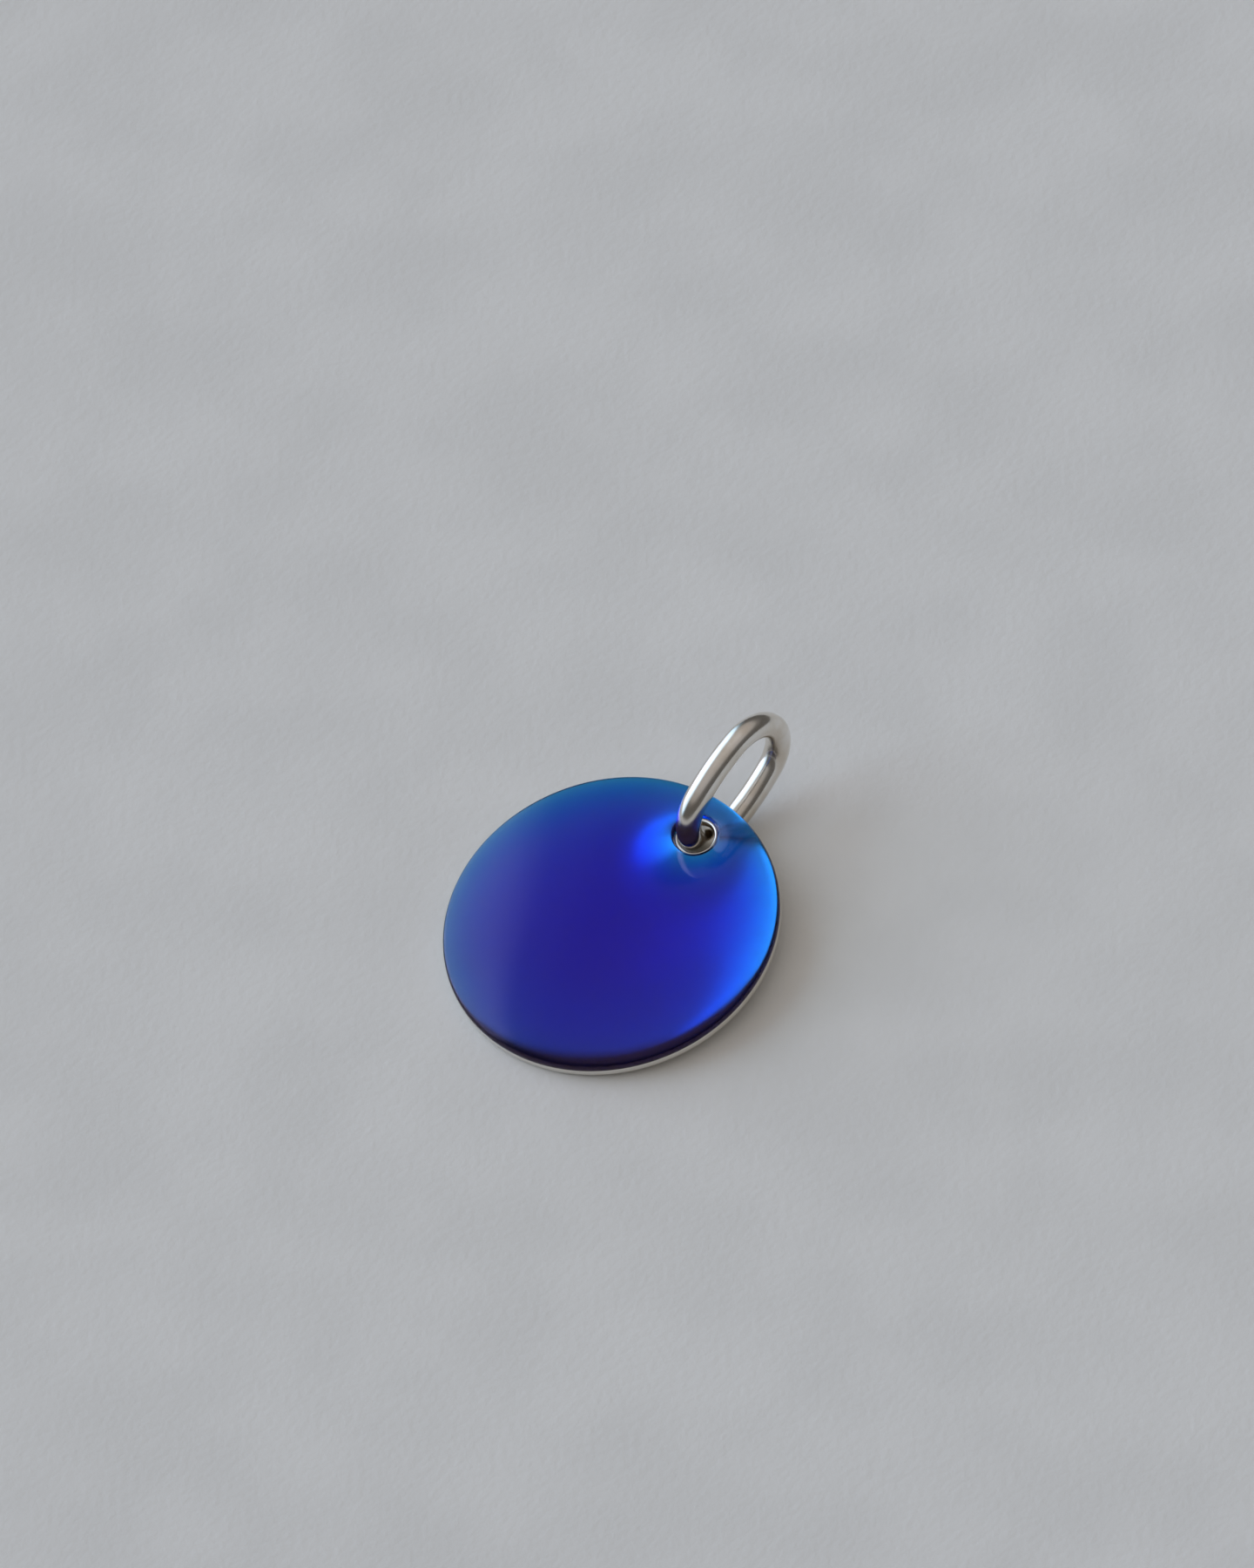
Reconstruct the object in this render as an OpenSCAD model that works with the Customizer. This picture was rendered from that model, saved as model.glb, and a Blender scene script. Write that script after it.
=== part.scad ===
// Round enamelled charm: a thin silver plate under a domed face of glass enamel, with a closed
// oval wire ring through a hole near the rim. It lies on its rim and on the ring's lower bend.
// Each piece is drawn about the disc's own axis, with z = 0 at the plate's upper face and the
// hole on +x. The whole is then tilted and lifted into the place where it lies by itself.

/* [Plate] */
// Diameter of the plate and of the enamel on it
disc_d = 12; // [10:0.5:16]
// Thickness of the plate
plate_t = 0.35; // [0.3:0.05:0.6]
// Radius of the plate's rounded lower edge
plate_edge_r = 0.15; // [0.05:0.01:0.2]

/* [Hole] */
// Diameter of the hole
hole_d = 1.3; // [1.2:0.05:1.5]
// Distance of the hole's axis from the disc's axis, as a share of the disc's radius
hole_share = 0.735; // [0.7:0.005:0.75]
// Width of the silver lip round the hole
lip_w = 0.13; // [0.1:0.01:0.2]
// Height of the lip above the plate's upper face
lip_rise = 0.1; // [0.08:0.01:0.2]
// Radius of the hole's rounded lower mouth
hole_edge_r = 0.15; // [0.1:0.01:0.2]

/* [Enamel] */
// Gap between the enamel and the silver
enamel_gap = 0.02; // [0.01:0.01:0.03]
// Height of the enamel's upright side above the plate
side_h = 0.05; // [0.04:0.01:0.15]
// Radius of the tight curve at the enamel's rim
rim_r = 0.2; // [0.15:0.05:0.3]
// How far inside the tight curve's centre the wide curve has its own
shoulder_in = 0.6; // [0.4:0.05:0.9]
// How far below it the wide curve has its centre
shoulder_down = 1.7; // [1.2:0.1:2.2]
// Rise of the dome's middle above the wide curve
dome_rise = 0.6; // [0.4:0.05:0.8]
// Radius of the enamel's rounded edge at the lip
mouth_edge_r = 0.12; // [0.08:0.01:0.15]
// Height of the middle of that round above the plate
mouth_edge_up = 0.15; // [0.12:0.01:0.18]
// Angle of the enamel's slope round the hole
mouth_slope = 17.5; // [16:0.5:20]

/* [Ring] */
// Diameter of the ring's wire
wire_d = 0.9; // [0.7:0.05:0.9]
// Length of the ring over all
ring_l = 5.7; // [5.5:0.1:6.5]
// Width of the ring over all
ring_w = 4.1; // [3.9:0.1:4.4]
// Radius of the ring's two end bends, as a share of half its width along the wire's middle
bend_share = 0.95; // [0.85:0.01:0.98]
// Distance of the ring's centre beyond the disc's edge
ring_out = 0.55; // [0.5:0.01:0.6]
// Height of the ring's centre above the plate's upper face
ring_up = 0.83; // [0.8:0.01:0.9]
// Angle of the ring's long axis above the plate
ring_lean = 20; // [16:0.5:24]

/* [Hidden] */
$fn = 96;

disc_r = disc_d / 2;
hole_r = hole_d / 2;
hole_x = disc_r * hole_share;
wire_r = wire_d / 2;
// Longer than anything it cuts
far = 4;

// The enamel's outline: three circles, each touching the next one from inside
rim_c = [disc_r - rim_r, side_h];
shoulder_c = rim_c - [shoulder_in, shoulder_down];
shoulder_r = rim_r + norm(rim_c - shoulder_c);
dome_r = shoulder_r + (shoulder_c.x * shoulder_c.x / dome_rise + dome_rise) / 2;
dome_c = [0, shoulder_c.y + shoulder_r + dome_rise - dome_r];
// Where one circle gives way to the next
rim_in = rim_c.x + rim_r * shoulder_in / (shoulder_r - rim_r);
shoulder_edge = shoulder_c.x * dome_r / (dome_r - shoulder_r);

// The enamel round the hole: a tight round at the lip, then a straight slope up to the dome
foot_r = hole_r + lip_w + enamel_gap;
mouth_edge_c = [foot_r + mouth_edge_r, mouth_edge_up];
mouth_in = mouth_edge_c + mouth_edge_r * [-sin(mouth_slope), cos(mouth_slope)];
mouth_out = mouth_in + far * [1, tan(mouth_slope)];

// The oval of the wire's middle: two end bends and two long sides that run into them
half_l = (ring_l - wire_d) / 2;
half_w = (ring_w - wire_d) / 2;
end_r = half_w * bend_share;
end_x = half_l - end_r;
side_y = (end_x * end_x - (half_w - end_r) * (half_w - end_r)) / (2 * (half_w - end_r));
side_r = half_w + side_y;

// Where the charm touches the ground: the plate's lower edge and the ring's lower bend are
// round, so the ground is the plane that runs under both circles
ring_c = [disc_r + ring_out, ring_up];
ring_axis = [cos(ring_lean), sin(ring_lean)];
edge_c = [plate_edge_r - disc_r, plate_edge_r - plate_t];
low_bend_c = ring_c - end_x * ring_axis;
high_bend_c = ring_c + end_x * ring_axis;
bend_outer_r = end_r + wire_r;
span = low_bend_c - edge_c;
tilt = asin((bend_outer_r - plate_edge_r) / norm(span)) - atan2(span.y, span.x);
up = [sin(tilt), cos(tilt)];
along = [cos(tilt), -sin(tilt)];
lift = plate_edge_r - edge_c * up;

// The middle of the length over all, from the enamel's rim to the ring's upper bend
left_end = [-rim_c.x, rim_c.y] * along - rim_r;
right_end = high_bend_c * along + bend_outer_r;
middle = (left_end + right_end) / 2;

// Takes a piece from the disc's own axis to where the charm lies
module lying() {
    translate([-middle, 0, lift])
        rotate([0, -tilt, 0])
            children();
}

module at_hole() {
    translate([hole_x, 0, 0])
        children();
}

module plate() {
    rotate_extrude() {
        translate([0, plate_edge_r - plate_t])
            square([disc_r, plate_t - plate_edge_r]);
        translate([0, -plate_t])
            square([disc_r - plate_edge_r, plate_t]);
        translate([disc_r - plate_edge_r, plate_edge_r - plate_t])
            circle(plate_edge_r);
    }
}

// Upright wall round the hole, with a fully rounded top
module lip() {
    rotate_extrude() {
        translate([hole_r, -plate_t])
            square([lip_w, plate_t + lip_rise - lip_w / 2]);
        translate([hole_r + lip_w / 2, lip_rise - lip_w / 2])
            circle(lip_w / 2);
    }
}

// What the hole takes out of the plate: the bore and its rounded lower mouth
module bore() {
    translate([0, 0, -far / 2])
        cylinder(h = far, r = hole_r);
    rotate_extrude()
        difference() {
            translate([0, -plate_t - hole_edge_r])
                square([hole_r + hole_edge_r, 2 * hole_edge_r]);
            translate([hole_r + hole_edge_r, hole_edge_r - plate_t])
                circle(hole_edge_r);
        }
}

module disc_back() {
    color("silver")
        lying()
            difference() {
                union() {
                    plate();
                    at_hole()
                        lip();
                }
                at_hole()
                    bore();
            }
}

// An upright band between two distances from the axis, open at the top
module band(inner_x, outer_x, top = far) {
    polygon([[inner_x, enamel_gap], [outer_x, enamel_gap], [outer_x, top], [inner_x, top]]);
}

module arc_band(centre, radius, inner_x, outer_x) {
    intersection() {
        translate(centre)
            circle(radius, $fn = 4 * $fn);
        band(inner_x, outer_x);
    }
}

module dome() {
    rotate_extrude() {
        arc_band(dome_c, dome_r, 0, shoulder_edge);
        arc_band(shoulder_c, shoulder_r, shoulder_edge, rim_in);
        arc_band(rim_c, rim_r, rim_in, disc_r);
        band(rim_in, disc_r, side_h);
    }
}

// What the hole takes out of the enamel: clear of the lip, then everything above the slope
module enamel_mouth() {
    translate([0, 0, -far / 2])
        cylinder(h = far, r = foot_r);
    rotate_extrude()
        difference() {
            polygon([[0, mouth_edge_up], mouth_edge_c, mouth_in, mouth_out, [0, mouth_out.y]]);
            translate(mouth_edge_c)
                circle(mouth_edge_r);
        }
}

module enamel() {
    color([0.12, 0.10, 0.62])
        lying()
            difference() {
                dome();
                at_hole()
                    enamel_mouth();
            }
}

// The wire bent to a full circle about a centre
module hoop(centre, radius) {
    translate(centre)
        rotate_extrude()
            translate([radius, 0])
                circle(wire_r, $fn = 48);
}

// A slab over an outline in the ring's plane, thicker than the wire
module slab(points) {
    linear_extrude(2 * wire_d, center = true)
        polygon(points);
}

// The bend at one end lies between the lines from the two sides' centres through its own
module end_bend() {
    intersection() {
        hoop([end_x, 0, 0], end_r);
        slab([[end_x, 0], [2 * end_x, -side_y], [2 * side_y, -side_y], [2 * side_y, side_y], [2 * end_x, side_y]]);
    }
}

module long_side() {
    intersection() {
        hoop([0, -side_y, 0], side_r);
        slab([[0, -side_y], [2 * end_x, side_y], [-2 * end_x, side_y]]);
    }
}

module jump_ring() {
    color("gainsboro")
        lying()
            translate([ring_c.x, 0, ring_c.y])
                rotate([0, -ring_lean, 0])
                    rotate([90, 0, 0])
                        for (turn = [0, 180])
                            rotate([0, 0, turn]) {
                                end_bend();
                                long_side();
                            }
}

disc_back();
enamel();
jump_ring();
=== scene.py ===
from math import acos, asin, atan2, cos, hypot, pi, radians, sin, sqrt, tan

import bmesh
import bpy
from mathutils import Matrix, Vector


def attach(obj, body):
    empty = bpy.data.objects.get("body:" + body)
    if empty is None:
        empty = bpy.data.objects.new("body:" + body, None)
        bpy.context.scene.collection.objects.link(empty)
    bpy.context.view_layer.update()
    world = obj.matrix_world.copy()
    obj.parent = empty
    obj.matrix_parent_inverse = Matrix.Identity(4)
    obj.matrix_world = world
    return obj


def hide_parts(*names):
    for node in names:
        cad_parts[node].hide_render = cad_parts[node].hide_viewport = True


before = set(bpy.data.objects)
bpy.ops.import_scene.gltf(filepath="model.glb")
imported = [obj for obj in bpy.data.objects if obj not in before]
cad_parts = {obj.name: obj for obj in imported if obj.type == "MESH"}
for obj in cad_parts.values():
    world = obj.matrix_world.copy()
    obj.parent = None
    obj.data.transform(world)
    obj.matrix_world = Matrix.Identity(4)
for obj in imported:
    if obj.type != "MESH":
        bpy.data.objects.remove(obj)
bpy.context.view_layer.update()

MM = 0.001

# The disc, in millimetres about its own axis: z = 0 is the plate's upper face, the hole is on +x
DISC_R = 6.0
PLATE_T = 0.35
PLATE_EDGE_R = 0.15
HOLE_R = 0.65
HOLE_SHARE = 0.735
HOLE_X = DISC_R * HOLE_SHARE
LIP_W = 0.13
LIP_RISE = 0.1
HOLE_EDGE_R = 0.15
# The round on the plate's upper edge, only there to catch the light
UPPER_EDGE_R = 0.02

# The enamel's outline: three circles, each touching the next one from inside
ENAMEL_GAP = 0.02
SIDE_H = 0.05
RIM_R = 0.2
SHOULDER_IN = 0.6
SHOULDER_DOWN = 1.7
DOME_RISE = 0.6
RIM_C = Vector((DISC_R - RIM_R, SIDE_H))
SHOULDER_C = RIM_C - Vector((SHOULDER_IN, SHOULDER_DOWN))
SHOULDER_R = RIM_R + hypot(SHOULDER_IN, SHOULDER_DOWN)
DOME_R = SHOULDER_R + (SHOULDER_C.x**2 / DOME_RISE + DOME_RISE) / 2
DOME_C = Vector((0, SHOULDER_C.y + SHOULDER_R + DOME_RISE - DOME_R))
RIM_IN = RIM_C.x + RIM_R * SHOULDER_IN / (SHOULDER_R - RIM_R)
SHOULDER_EDGE = SHOULDER_C.x * DOME_R / (DOME_R - SHOULDER_R)

# The enamel round the hole: a tight round at the lip, then a straight slope up to the dome
FOOT_R = HOLE_R + LIP_W + ENAMEL_GAP
MOUTH_EDGE_R = 0.12
MOUTH_EDGE_UP = 0.15
MOUTH_SLOPE = radians(17.5)
MOUTH_EDGE_C = Vector((FOOT_R + MOUTH_EDGE_R, MOUTH_EDGE_UP))
MOUTH_IN = MOUTH_EDGE_C + MOUTH_EDGE_R * Vector((-sin(MOUTH_SLOPE), cos(MOUTH_SLOPE)))
# Difference in height below which the slope starts to run softly into the dome
MOUTH_SOFT = 0.35

# The molten glass pooled a little towards one side, where it stands fuller just inside the rim:
# which side, by how much, the distances from the disc's axis where this starts and is highest, and
# the angles from that side within which it is full and at which it ends
POOL_SIDE = Vector((-0.728, -0.686))
POOL_RISE = 0.16
POOL_IN = 2.8
POOL_TOP = 5.4
POOL_FULL = cos(radians(15))
POOL_END = cos(radians(75))

# The enamel's mesh: circles round the hole's axis out to HOLE_ROUND, and round the disc's axis from
# DISC_ROUND on. Between the two their centres slide over, in steps that crowd outwards.
SIDES = 288
HOLE_ROUND = 1.12
DISC_ROUND = 5.86
CROWDING = 1.6

# The ring: two end bends and two long sides of round wire
WIRE_R = 0.45
RING_L = 5.7
RING_W = 4.1
BEND_SHARE = 0.95
HALF_L = RING_L / 2 - WIRE_R
HALF_W = RING_W / 2 - WIRE_R
END_R = HALF_W * BEND_SHARE
END_X = HALF_L - END_R
SIDE_Y = (END_X**2 - (HALF_W - END_R) ** 2) / (2 * (HALF_W - END_R))
SIDE_R = HALF_W + SIDE_Y
RING_OUT = 0.55
RING_UP = 0.83
RING_LEAN = radians(20)
RING_C = Vector((DISC_R + RING_OUT, RING_UP))

# Where the charm lies: on the line under the plate's edge circle and the ring's lower bend
RING_AXIS = Vector((cos(RING_LEAN), sin(RING_LEAN)))
EDGE_C = Vector((PLATE_EDGE_R - DISC_R, PLATE_EDGE_R - PLATE_T))
SPAN = RING_C - END_X * RING_AXIS - EDGE_C
BEND_OUTER_R = END_R + WIRE_R
TILT = asin((BEND_OUTER_R - PLATE_EDGE_R) / SPAN.length) - atan2(SPAN.y, SPAN.x)
LIFT = PLATE_EDGE_R - EDGE_C.dot(Vector((sin(TILT), cos(TILT))))
ALONG = Vector((cos(TILT), -sin(TILT)))
LEFT_END = Vector((-RIM_C.x, RIM_C.y)).dot(ALONG) - RIM_R
RIGHT_END = (RING_C + END_X * RING_AXIS).dot(ALONG) + BEND_OUTER_R
LEAN_BACK = Matrix.Rotation(-TILT, 4, "Y")
LYING = Matrix.Translation(((-LEFT_END - RIGHT_END) / 2 * MM, 0, LIFT * MM)) @ LEAN_BACK
# From millimetres about the disc's own axis to metres in the place where the charm lies
IN_PLACE = LYING @ Matrix.Scale(MM, 4)

# The photograph in pixels: its size, where the disc's centre is, how large the disc is and how far
# away. Then the angle from the disc's axis to the view, and how the disc and the view are turned.
IMAGE_W = 1440
IMAGE_H = 1800
CENTRE_PX = (702.1, 1060.6)
PX_PER_MM = 32.93
FOCAL_PX = 14000
FROM_NORMAL = radians(34.8)
HOLE_TURN = radians(29.3)
ROLL = radians(20.5)


def linear(hex_colour):
    """A colour written as sRGB hex, as the linear values that a shader takes."""
    parts = [int(hex_colour[i : i + 2], 16) / 255 for i in (1, 3, 5)]
    return [c / 12.92 if c <= 0.04045 else ((c + 0.055) / 1.055) ** 2.4 for c in parts] + [1]


# Camera

def view_axes():
    """The photograph's right, up and back directions, with the charm lying in its place."""
    across = Vector((cos(HOLE_TURN), -sin(HOLE_TURN), 0))
    away = Vector((sin(HOLE_TURN), cos(HOLE_TURN), 0))
    normal = Vector((0, 0, 1))
    back = cos(FROM_NORMAL) * normal - sin(FROM_NORMAL) * away
    top = cos(FROM_NORMAL) * away + sin(FROM_NORMAL) * normal
    right = cos(ROLL) * across - sin(ROLL) * top
    up = sin(ROLL) * across + cos(ROLL) * top
    return [LEAN_BACK.to_3x3() @ v for v in (right, up, back)]


def make_camera():
    """The photograph's own view: from far off, with the disc off the middle of the frame."""
    right, up, back = view_axes()
    data = bpy.data.cameras.new("camera")
    data.sensor_width = 36
    data.lens = data.sensor_width * FOCAL_PX / IMAGE_H
    data.clip_start = 0.01
    camera = bpy.data.objects.new("camera", data)
    bpy.context.scene.collection.objects.link(camera)
    target = LYING @ Vector((0, 0, 0))
    aside = (IMAGE_W / 2 - CENTRE_PX[0]) * right + (CENTRE_PX[1] - IMAGE_H / 2) * up
    place = target + (FOCAL_PX * back + aside) * MM / PX_PER_MM
    turn = Matrix((right, up, back)).transposed().to_4x4()
    camera.matrix_world = Matrix.Translation(place) @ turn
    bpy.context.scene.camera = camera


# Meshes

def finish_mesh(bm, name, place):
    """The mesh as an object with its place in its vertices, smooth except at edges marked sharp."""
    bmesh.ops.recalc_face_normals(bm, faces=bm.faces)
    for face in bm.faces:
        face.smooth = True
    # The operators' order of faces changes from run to run, so they are put in one order
    bm.verts.index_update()
    count = len(bm.verts)
    bm.faces.sort(key=lambda face: face.verts[0].index * count + face.verts[2].index)
    mesh = bpy.data.meshes.new(name)
    bm.to_mesh(mesh)
    bm.free()
    mesh.transform(place)
    piece = bpy.data.objects.new(name, mesh)
    bpy.context.scene.collection.objects.link(piece)
    return piece


def loft(rings, sides, sharp=()):
    """A closed skin through level circles (centre's x, radius, height), the last joined to the first."""
    bm = bmesh.new()
    x, radius, z = rings[0]
    start = Matrix.Translation((x, 0, z))
    bmesh.ops.create_circle(bm, segments=sides, radius=radius, matrix=start)
    first = list(bm.edges)
    loop = first
    loops = [first]
    for new_x, new_radius, new_z in rings[1:]:
        grown = bmesh.ops.extrude_edge_only(bm, edges=loop)["geom"]
        verts = [g for g in grown if isinstance(g, bmesh.types.BMVert)]
        ends = set(verts)
        loop = [g for g in grown if isinstance(g, bmesh.types.BMEdge) and ends.issuperset(g.verts)]
        size = Matrix.Scale(new_radius / radius, 4)
        home = Matrix.Translation((new_x, 0, new_z)) @ size @ Matrix.Translation((-x, 0, -z))
        bmesh.ops.transform(bm, matrix=home, verts=verts)
        loops.append(loop)
        x, radius, z = new_x, new_radius, new_z
    bmesh.ops.bridge_loops(bm, edges=first + loop)
    for i in sharp:
        for edge in loops[i]:
            edge.smooth = False
    return bm


def arc(centre, radius, start, end, steps):
    """Points (distance, height) along an arc, from one angle in degrees to another."""
    turns = [radians(start + (end - start) * i / steps) for i in range(steps + 1)]
    return [(centre[0] + radius * cos(t), centre[1] + radius * sin(t)) for t in turns]


def dome_height(r):
    """Height of the enamel's surface at a distance from the disc's axis."""
    if r <= SHOULDER_EDGE:
        return DOME_C.y + sqrt(DOME_R**2 - r**2)
    if r <= RIM_IN:
        return SHOULDER_C.y + sqrt(SHOULDER_R**2 - (r - SHOULDER_C.x) ** 2)
    return RIM_C.y + sqrt(max(RIM_R**2 - (r - RIM_C.x) ** 2, 0))


def mouth_height(r):
    """Height of the enamel's slope at a distance from the hole's axis."""
    if r <= MOUTH_IN.x:
        return MOUTH_EDGE_C.y + sqrt(max(MOUTH_EDGE_R**2 - (r - MOUTH_EDGE_C.x) ** 2, 0))
    return MOUTH_IN.y + (r - MOUTH_IN.x) * tan(MOUTH_SLOPE)


def soft_step(share):
    """From 0 to 1, level at both ends."""
    share = min(max(share, 0), 1)
    return share * share * (3 - 2 * share)


def pool_height(x, y):
    """How much fuller the enamel is at a place, on the side that it pooled towards."""
    r = hypot(x, y)
    if r <= POOL_IN:
        return 0
    facing = (x * POOL_SIDE.x + y * POOL_SIDE.y) / r
    round_side = soft_step((facing - POOL_END) / (POOL_FULL - POOL_END))
    rise = soft_step((r - POOL_IN) / (POOL_TOP - POOL_IN))
    fall = max(r - POOL_TOP, 0) / (DISC_R - POOL_TOP)
    return POOL_RISE * round_side * rise * (1 - fall**2)


def smooth_least(a, b, width):
    """The lesser of two heights, with a soft change from one to the other."""
    share = max(width - abs(a - b), 0) / width
    return min(a, b) - share**3 * width / 6


def make_enamel():
    """Circles from the lip's foot out to the rim, then lifted to the height of the glass."""
    rings = [(HOLE_X, FOOT_R, ENAMEL_GAP)]
    edge_steps = 12
    for i in range(edge_steps):
        turn = (pi / 2 - MOUTH_SLOPE) * i / edge_steps
        rings.append((HOLE_X, MOUTH_EDGE_C.x - MOUTH_EDGE_R * cos(turn), LIP_RISE))
    slope_steps = 14
    for i in range(slope_steps):
        rings.append((HOLE_X, MOUTH_IN.x + (HOLE_ROUND - MOUTH_IN.x) * i / slope_steps, LIP_RISE))
    face_steps = 110
    for i in range(face_steps):
        share = 1 - (1 - i / face_steps) ** CROWDING
        radius = HOLE_ROUND + (DISC_ROUND - HOLE_ROUND) * share
        rings.append((HOLE_X * (1 - share), radius, LIP_RISE))
    rim_steps = 22
    rim_turn = acos((DISC_ROUND - RIM_C.x) / RIM_R)
    for i in range(rim_steps + 1):
        rings.append((0, RIM_C.x + RIM_R * cos(rim_turn * (1 - i / rim_steps)), LIP_RISE))
    rings.append((0, DISC_R, ENAMEL_GAP))
    bm = loft(rings, SIDES, sharp=(0, len(rings) - 1))
    # All but the first and the last circle, which bound the flat underside
    for vert in [v for v in bm.verts if v.co.z > LIP_RISE / 2]:
        dome = dome_height(hypot(vert.co.x, vert.co.y)) + pool_height(vert.co.x, vert.co.y)
        mouth = mouth_height(hypot(vert.co.x - HOLE_X, vert.co.y))
        vert.co.z = smooth_least(dome, mouth, MOUTH_SOFT)
    return finish_mesh(bm, "enamel_glass", IN_PLACE)


def make_plate():
    """Circles up the bore, over the lip, out along the upper face and round the edge to the back."""
    hole_edge_c = (HOLE_R + HOLE_EDGE_R, HOLE_EDGE_R - PLATE_T)
    lip_c = (HOLE_R + LIP_W / 2, LIP_RISE - LIP_W / 2)
    upper_edge_c = (DISC_R - UPPER_EDGE_R, -UPPER_EDGE_R)
    edge_c = (DISC_R - PLATE_EDGE_R, PLATE_EDGE_R - PLATE_T)
    rings = [(HOLE_X, r, z) for r, z in arc(hole_edge_c, HOLE_EDGE_R, 270, 180, 10)]
    rings += [(HOLE_X, r, z) for r, z in arc(lip_c, LIP_W / 2, 180, 0, 14)]
    lip_foot = len(rings)
    rings += [(HOLE_X, HOLE_R + LIP_W, 0)]
    face_end = len(rings)
    rings += [(0, r, z) for r, z in arc(upper_edge_c, UPPER_EDGE_R, 90, 0, 4)]
    rings += [(0, r, z) for r, z in arc(edge_c, PLATE_EDGE_R, 0, -90, 10)]
    bm = loft(rings, SIDES, sharp=(0, lip_foot, face_end, len(rings) - 1))
    return finish_mesh(bm, "silver_plate", IN_PLACE)


def wire_offset(x, y):
    """Distance outwards from the wire's middle line, in the plane of the oval."""
    past_end = abs(x) - END_X
    if abs(y) * END_X <= past_end * SIDE_Y:
        return hypot(past_end, y) - END_R
    return hypot(x, abs(y) + SIDE_Y) - SIDE_R


def make_ring():
    """A round section spun along the four arcs of the oval, drawn flat and then stood up."""
    bm = bmesh.new()
    start = Matrix.Translation((HALF_L, 0, 0)) @ Matrix.Rotation(pi / 2, 4, "X")
    bmesh.ops.create_circle(bm, segments=48, radius=WIRE_R, matrix=start)
    end = bm.verts[:] + bm.edges[:]
    # From the middle of one end bend all the way round to it again
    half_bend = atan2(SIDE_Y, END_X)
    half_bend_steps = 32
    side_steps = 24
    turns = [
        (Vector((END_X, 0, 0)), half_bend, half_bend_steps),
        (Vector((0, -SIDE_Y, 0)), pi - 2 * half_bend, side_steps),
        (Vector((-END_X, 0, 0)), 2 * half_bend, 2 * half_bend_steps),
        (Vector((0, SIDE_Y, 0)), pi - 2 * half_bend, side_steps),
        (Vector((END_X, 0, 0)), half_bend, half_bend_steps),
    ]
    for centre, angle, steps in turns:
        end = bmesh.ops.spin(
            bm, geom=end, cent=centre, axis=(0, 0, 1), angle=angle, steps=steps
        )["geom_last"]
    bmesh.ops.remove_doubles(bm, verts=bm.verts, dist=1e-4)
    # Each point's place in the round section, for the drawn lines
    section = bm.verts.layers.float_vector.new("section")
    for vert in bm.verts:
        vert[section] = (wire_offset(vert.co.x, vert.co.y), vert.co.z, 0)
    stand = Matrix.Rotation(-RING_LEAN, 4, "Y") @ Matrix.Rotation(pi / 2, 4, "X")
    place = Matrix.Translation((RING_C.x, 0, RING_C.y)) @ stand
    return finish_mesh(bm, "silver_ring", IN_PLACE @ place)


# Materials

# Brushed and drawn lines are about 0.01 mm apart on real silver: here they are 0.06 mm apart, so
# that they show
LINES_PER_MM = 16
BRIGHT_SILVER = "#e8e5e0"


def add(tree, kind, values=None, links=None, **settings):
    """One node, with its settings, its sockets' values and the sockets that feed it."""
    node = tree.nodes.new(kind)
    for key, value in settings.items():
        setattr(node, key, value)
    for key, value in (values or {}).items():
        node.inputs[key].default_value = value
    for key, socket in (links or {}).items():
        tree.links.new(socket, node.inputs[key])
    return node


def new_material(name):
    material = bpy.data.materials.new(name)
    material.use_nodes = True
    material.node_tree.nodes.clear()
    return material, material.node_tree


def tones_by(tree, number, stops):
    """Colours that follow a number from 0 to 1, with soft steps from one to the next."""
    ramp = add(tree, "ShaderNodeValToRGB", links={"Fac": number})
    ramp.color_ramp.interpolation = "EASE"
    elements = ramp.color_ramp.elements
    while len(elements) < len(stops):
        elements.new(1)
    for element, (position, colour) in zip(elements, stops):
        element.position = position
        element.color = colour
    return ramp.outputs["Color"]


def disc_place(tree):
    """Object coordinates turned back to the disc's own frame, in millimetres."""
    return add(
        tree,
        "ShaderNodeMapping",
        values={
            "Location": LYING.inverted().translation / MM,
            "Rotation": (0, TILT, 0),
            "Scale": (1 / MM, 1 / MM, 1 / MM),
        },
        links={"Vector": add(tree, "ShaderNodeTexCoord").outputs["Object"]},
    ).outputs["Vector"]


def glass_enamel():
    """Cobalt blue glass enamel, fired and flame polished: clear, and deep where it is thick."""
    material, tree = new_material("cobalt_glass_enamel_fired")
    # Soft swells about 2 mm long and some 2 thousandths of a millimetre high, as the glass set:
    # they keep the reflected window from looking machined
    swell = add(
        tree,
        "ShaderNodeTexNoise",
        values={"Scale": 0.5, "Detail": 1},
        links={"Vector": disc_place(tree)},
    )
    surface = add(
        tree,
        "ShaderNodeBump",
        values={"Strength": 1, "Distance": 0.004 * MM},
        links={"Height": swell.outputs["Fac"]},
    )
    # The tint takes some green out of the reflections, which look violet over the deep blue
    glass = add(
        tree,
        "ShaderNodeBsdfPrincipled",
        values={
            "Base Color": (1, 1, 1, 1),
            "Roughness": 0.08,
            "IOR": 1.52,
            "Specular Tint": (0.9, 0.55, 1, 1),
            "Transmission Weight": 1,
        },
        links={"Normal": surface.outputs["Normal"]},
    )
    # Cobalt takes out red first and green next, so thin glass is azure and thick glass is navy
    depth = add(
        tree,
        "ShaderNodeVolumeAbsorption",
        values={"Color": (0, 0.716, 0.9895, 1), "Density": 8200},
    )
    add(
        tree,
        "ShaderNodeOutputMaterial",
        links={"Surface": glass.outputs["BSDF"], "Volume": depth.outputs["Volume"]},
    )
    return material


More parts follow.
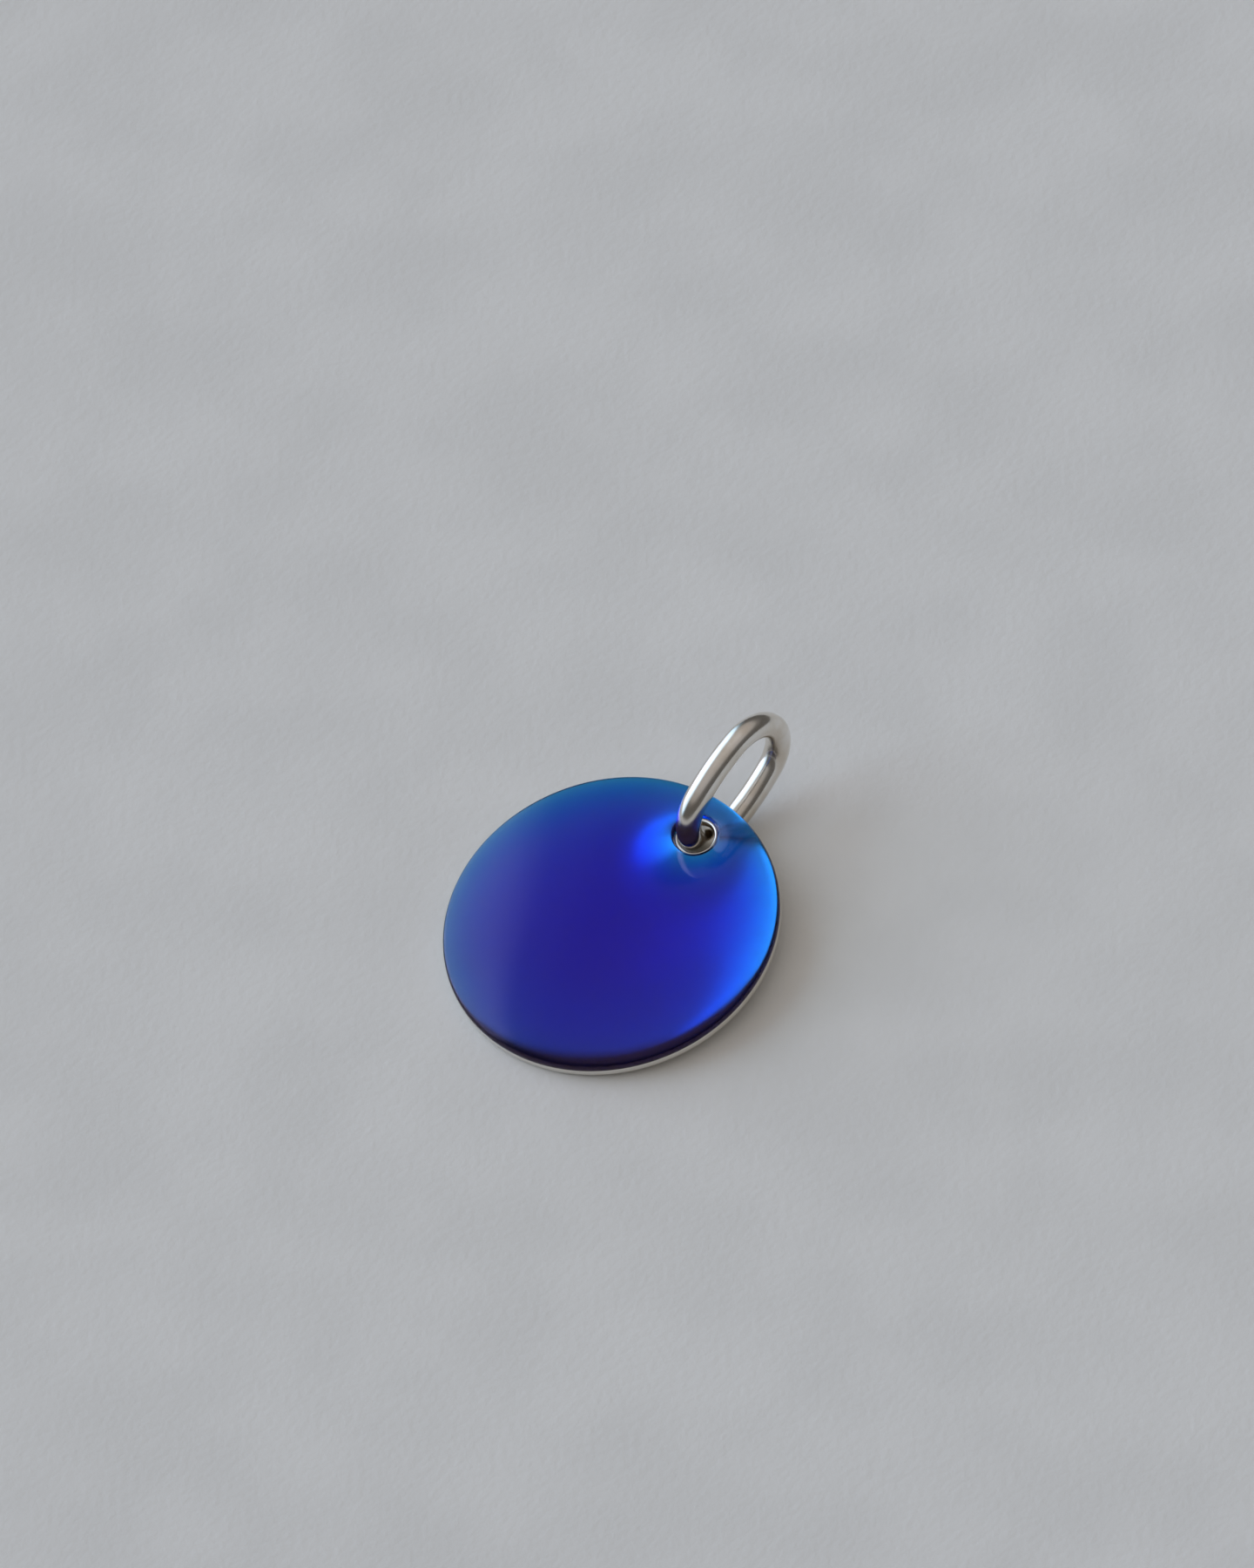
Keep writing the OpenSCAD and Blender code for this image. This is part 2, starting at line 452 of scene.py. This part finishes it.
def silver_plate():
    """Sterling silver sheet, brushed on its back and edge, with tarnish and painted shade inside the
    hole.
    """
    material, tree = new_material("sterling_silver_brushed")
    place = disc_place(tree)
    # Brushed lines about 3 mm long
    stretched = add(
        tree,
        "ShaderNodeMapping",
        values={"Scale": (0.3, LINES_PER_MM, LINES_PER_MM)},
        links={"Vector": place},
    )
    lines = add(
        tree,
        "ShaderNodeTexNoise",
        values={"Scale": 1, "Detail": 2},
        links={"Vector": stretched.outputs["Vector"]},
    )
    # The face under the glass was left bright, so the lines fade where the metal faces up
    facing_up = add(
        tree,
        "ShaderNodeVectorMath",
        values={1: LEAN_BACK.to_3x3() @ Vector((0, 0, 1))},
        links={0: add(tree, "ShaderNodeTexCoord").outputs["Normal"]},
        operation="DOT_PRODUCT",
    )
    brushed = add(
        tree,
        "ShaderNodeMapRange",
        values={"From Min": 0.98, "From Max": 0.85},
        links={"Value": facing_up.outputs["Value"]},
    )
    surface = add(
        tree,
        "ShaderNodeBump",
        values={"Distance": 0.0015 * MM},
        links={"Strength": brushed.outputs["Result"], "Height": lines.outputs["Fac"]},
    )
    # From 0.15 where the metal is bright to 0.27 where it is brushed
    roughness = add(
        tree,
        "ShaderNodeMath",
        values={1: 0.12, 2: 0.15},
        links={0: brushed.outputs["Result"]},
        operation="MULTIPLY_ADD",
    )
    # Brown inside the hole: tarnish where no cloth reaches, and painted shade that darkens further down
    # the bore. It starts just below the top of the lip and keeps within 0.03 mm of the bore's wall.
    from_axis = add(
        tree,
        "ShaderNodeMapping",
        values={"Location": (-HOLE_X, 0, 0), "Scale": (1, 1, 0)},
        links={"Vector": place},
    )
    distance = add(
        tree,
        "ShaderNodeVectorMath",
        links={0: from_axis.outputs["Vector"]},
        operation="LENGTH",
    )
    inside = add(
        tree,
        "ShaderNodeMapRange",
        values={"From Min": HOLE_R + 0.03, "From Max": HOLE_R + 0.005},
        links={"Value": distance.outputs["Value"]},
    )
    height = add(tree, "ShaderNodeSeparateXYZ", links={"Vector": place})
    depth = add(
        tree,
        "ShaderNodeMapRange",
        values={"From Min": 0.05, "From Max": -0.2},
        links={"Value": height.outputs["Z"]},
    )
    bore = add(
        tree,
        "ShaderNodeMath",
        links={0: inside.outputs["Result"], 1: depth.outputs["Result"]},
        operation="MULTIPLY",
    )
    # Blotches about 0.5 mm across
    patches = add(tree, "ShaderNodeTexNoise", values={"Scale": 2, "Detail": 3}, links={"Vector": place})
    # Tarnish and painted shade together: blotches over the bore's mask, darkest deep in the bore
    tarnish_and_shade = add(
        tree,
        "ShaderNodeMath",
        values={1: 0.14},
        links={0: patches.outputs["Fac"], 2: bore.outputs["Value"]},
        operation="MULTIPLY_ADD",
    )
    colour = tones_by(
        tree,
        tarnish_and_shade.outputs["Value"],
        (
            (0.0, linear(BRIGHT_SILVER)),
            (0.2, linear("#dfdad1")),
            (0.6, linear("#a08c72")),
            (1.0, linear("#6e5a45")),
        ),
    )
    metal = add(
        tree,
        "ShaderNodeBsdfPrincipled",
        values={"Metallic": 1},
        links={
            "Base Color": colour,
            "Roughness": roughness.outputs["Value"],
            "Normal": surface.outputs["Normal"],
        },
    )
    add(tree, "ShaderNodeOutputMaterial", links={"Surface": metal.outputs["BSDF"]})
    return material


def silver_wire():
    """Sterling silver wire, drawn and then tumbled: bright, with faint lines and dull patches."""
    material, tree = new_material("sterling_silver_drawn")
    place = disc_place(tree)
    # Drawn lines run along the wire: they follow the place in its section and change slowly along it
    section = add(tree, "ShaderNodeAttribute", attribute_name="section", attribute_type="GEOMETRY")
    across = add(
        tree,
        "ShaderNodeMapping",
        values={"Scale": (LINES_PER_MM, LINES_PER_MM, 0)},
        links={"Vector": section.outputs["Vector"]},
    )
    along = add(
        tree,
        "ShaderNodeVectorMath",
        values={1: (0.5, 0.5, 0.5)},
        links={0: place},
        operation="MULTIPLY",
    )
    line_place = add(
        tree,
        "ShaderNodeVectorMath",
        links={0: across.outputs["Vector"], 1: along.outputs["Vector"]},
        operation="ADD",
    )
    lines = add(
        tree,
        "ShaderNodeTexNoise",
        values={"Scale": 1, "Detail": 2},
        links={"Vector": line_place.outputs["Vector"]},
    )
    surface = add(
        tree,
        "ShaderNodeBump",
        values={"Strength": 1, "Distance": 0.0006 * MM},
        links={"Height": lines.outputs["Fac"]},
    )
    # Patches about 1 mm long that handling has dulled and warmed a little
    patches = add(tree, "ShaderNodeTexNoise", values={"Scale": 1, "Detail": 3}, links={"Vector": place})
    roughness = add(
        tree,
        "ShaderNodeMapRange",
        values={"From Min": 0.35, "From Max": 0.65, "To Min": 0.13, "To Max": 0.22},
        links={"Value": patches.outputs["Fac"]},
    )
    colour = tones_by(
        tree,
        patches.outputs["Fac"],
        ((0.35, linear(BRIGHT_SILVER)), (0.65, linear("#dcd5ca"))),
    )
    metal = add(
        tree,
        "ShaderNodeBsdfPrincipled",
        values={"Metallic": 1},
        links={
            "Base Color": colour,
            "Roughness": roughness.outputs["Result"],
            "Normal": surface.outputs["Normal"],
        },
    )
    add(tree, "ShaderNodeOutputMaterial", links={"Surface": metal.outputs["BSDF"]})
    return material


def floor_paper():
    """Pale matt drawing paper: a fine felt grain and cloudy pulp."""
    material, tree = new_material("pale_matt_paper")
    place = add(tree, "ShaderNodeTexCoord").outputs["Object"]
    # Clouds of pulp about 5 mm across, and a grain of 0.3 mm that is 0.01 mm high
    clouds = add(tree, "ShaderNodeTexNoise", values={"Scale": 200, "Detail": 3}, links={"Vector": place})
    grain = add(tree, "ShaderNodeTexNoise", values={"Scale": 3300, "Detail": 3}, links={"Vector": place})
    surface = add(
        tree,
        "ShaderNodeBump",
        values={"Strength": 1, "Distance": 0.02 * MM},
        links={"Height": grain.outputs["Fac"]},
    )
    colour = tones_by(
        tree,
        clouds.outputs["Fac"],
        ((0.3, linear("#f2f1ed")), (0.7, linear("#f8f7f3"))),
    )
    paper = add(
        tree,
        "ShaderNodeBsdfPrincipled",
        values={"Roughness": 0.9, "Specular IOR Level": 0.2},
        links={"Base Color": colour, "Normal": surface.outputs["Normal"]},
    )
    add(tree, "ShaderNodeOutputMaterial", links={"Surface": paper.outputs["BSDF"]})
    return material


# Floor and light

def make_floor():
    half_side = 0.6
    bm = bmesh.new()
    bmesh.ops.create_grid(bm, x_segments=1, y_segments=1, size=half_side)
    floor = finish_mesh(bm, "floor", Matrix.Identity(4))
    floor.data.materials.append(floor_paper())


def direction(azimuth, elevation):
    """A unit vector, from degrees round from +X and degrees above the floor."""
    a, e = radians(azimuth), radians(elevation)
    return Vector((cos(a) * cos(e), sin(a) * cos(e), sin(e)))


# Where the window's middle is, in degrees round from +X and above the floor, and its light by the
# cosine of the angle from there. The room's light goes by the sine of the elevation: dim walls under
# a pale ceiling. Tones are linear.
WINDOW = (109, 13.5)
WINDOW_TONES = (
    (0.6, (0, 0, 0)),
    (0.71, (0.08, 0.13, 0.17)),
    (0.82, (0.80, 1.15, 1.50)),
    (0.9, (1.10, 1.35, 1.72)),
    (1.0, (1.90, 2.00, 2.50)),
)
ROOM_TONES = (
    (0.35, (0.11, 0.105, 0.10)),
    (0.55, (0.18, 0.17, 0.165)),
    (0.65, (0.36, 0.345, 0.335)),
    (0.8, (0.430, 0.402, 0.385)),
    (1.0, (0.535, 0.505, 0.485)),
)


def background(tree, number, tones):
    """Light from all round whose tone follows a number from 0 to 1."""
    brightest = max(max(tone) for _, tone in tones)
    stops = [(position, [value / brightest for value in tone] + [1]) for position, tone in tones]
    return add(
        tree,
        "ShaderNodeBackground",
        values={"Strength": brightest},
        links={"Color": tones_by(tree, number, stops)},
    )


def make_room():
    """Soft light all round: a broad low window behind and to the left, and a pale ceiling."""
    world = bpy.data.worlds.new("room")
    world.use_nodes = True
    tree = world.node_tree
    tree.nodes.clear()
    seen = add(tree, "ShaderNodeTexCoord").outputs["Generated"]
    facing = add(
        tree,
        "ShaderNodeVectorMath",
        values={1: direction(*WINDOW)},
        links={0: seen},
        operation="DOT_PRODUCT",
    )
    height = add(tree, "ShaderNodeSeparateXYZ", links={"Vector": seen})
    light = add(
        tree,
        "ShaderNodeAddShader",
        links={
            0: background(tree, facing.outputs["Value"], WINDOW_TONES).outputs["Background"],
            1: background(tree, height.outputs["Z"], ROOM_TONES).outputs["Background"],
        },
    )
    add(tree, "ShaderNodeOutputWorld", links={"Surface": light.outputs["Shader"]})
    bpy.context.scene.world = world


# The scene

bpy.context.scene.view_settings.view_transform = "Standard"
make_camera()
make_floor()
make_room()
plate = make_plate()
enamel = make_enamel()
ring = make_ring()
plate.data.materials.append(silver_plate())
enamel.data.materials.append(glass_enamel())
ring.data.materials.append(silver_wire())
for piece, node, slot in (
    (plate, "disc_back", "silver_plate"),
    (enamel, "enamel", "blue_enamel"),
    (ring, "jump_ring", "silver_wire"),
):
    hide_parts(node)
    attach(piece, "root")
